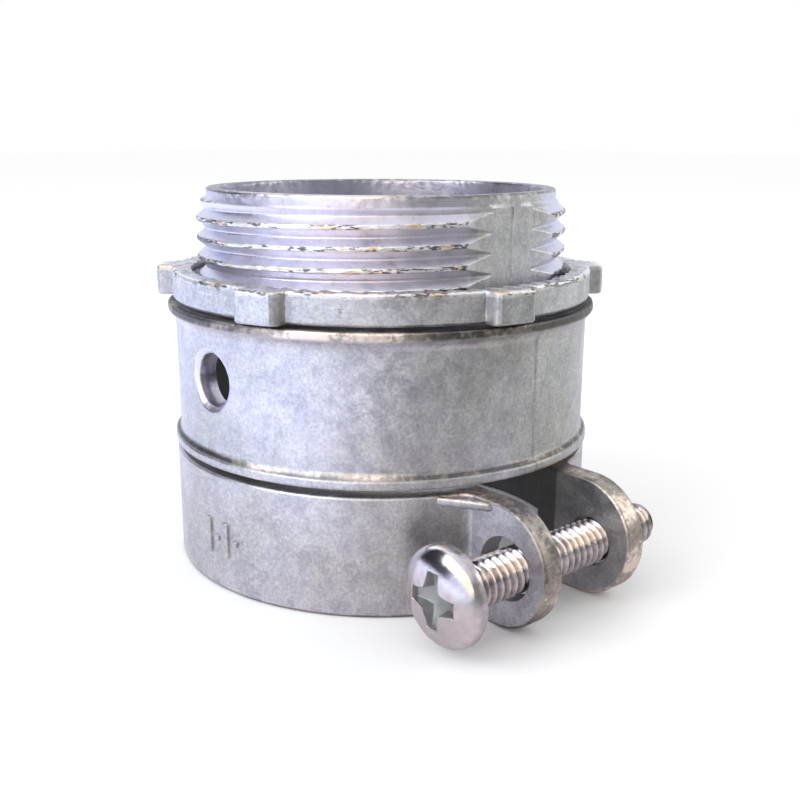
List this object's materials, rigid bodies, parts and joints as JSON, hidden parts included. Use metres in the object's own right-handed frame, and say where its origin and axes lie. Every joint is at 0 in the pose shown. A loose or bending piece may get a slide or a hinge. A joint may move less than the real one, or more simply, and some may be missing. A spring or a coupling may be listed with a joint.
{
  "type": "conduit squeeze connector",
  "caption": "Die-cast squeeze connector for flexible metal conduit: threaded hub with a lugged locknut, barrel with a sight hole, and a split clamp band drawn shut by a screw through its ears.",
  "frame": {"origin": "on the fitting's axis, in the plane of the shoulder that seats on the enclosure wall", "axes": "+Z along the fitting's axis out of the threaded hub, +X towards the clamp ears, clamp screw along +Y with its head at -Y"},
  "size_m": [0.0675, 0.0564, 0.0478],
  "materials": {
    "zinc_casting": "raw zinc die casting, satin with a fine orange-peel skin",
    "zinc_locknut": "raw zinc die casting, rough and slightly pitted",
    "plated_steel": "bright zinc-plated steel"
  },
  "bodies": {
    "fitting_body": {"fitting_body": "zinc_casting"},
    "clamp_arm_front": {"clamp_arm_front": "zinc_casting"},
    "clamp_arm_rear": {"clamp_arm_rear": "zinc_casting"},
    "clamp_screw_core": {"clamp_screw_core": "plated_steel"},
    "clamp_screw": {"clamp_screw": "plated_steel"},
    "locknut_core": {"locknut_core": "zinc_locknut"},
    "locknut": {"locknut": "zinc_locknut"}
  },
  "joints": [
    {"name": "clamp_front_flex", "type": "hinge", "parent": "fitting_body", "child": "clamp_arm_front", "pos_m": [-0.02051, -0.01602, -0.02625], "axis": [0, 0, 1], "range_deg": [0, 3], "stiffness_Nm_per_rad": 1},
    {"name": "clamp_rear_flex", "type": "hinge", "parent": "fitting_body", "child": "clamp_arm_rear", "pos_m": [-0.02051, 0.01602, -0.02625], "axis": [0, 0, 1], "range_deg": [-3, 0], "stiffness_Nm_per_rad": 1},
    {"name": "clamp_screw_advance", "type": "slide", "parent": "clamp_arm_rear", "child": "clamp_screw_core", "axis": [0, 1, 0], "range_m": [-0.00848, 0.00636]},
    {"name": "clamp_screw_turn", "type": "hinge", "parent": "clamp_screw_core", "child": "clamp_screw", "pos_m": [0.0323, 0, -0.02665], "axis": [0, 1, 0], "range_deg": [-2880, 2160]},
    {"name": "locknut_climb", "type": "slide", "parent": "fitting_body", "child": "locknut_core", "axis": [0, 0, 1], "range_m": [-0.0003, 0.0144]},
    {"name": "locknut_turn", "type": "hinge", "parent": "locknut_core", "child": "locknut", "pos_m": [0, 0, 0.0023], "axis": [0, 0, 1], "range_deg": [-45, 2160]}
  ],
  "couplings": [
    {"joint": "clamp_rear_flex", "follows": "clamp_front_flex", "ratio": -1},
    {"joint": "clamp_screw_turn", "follows": "clamp_screw_advance", "rad_per_m": 5927.5},
    {"joint": "locknut_turn", "follows": "locknut_climb", "rad_per_m": 2618}
  ]
}
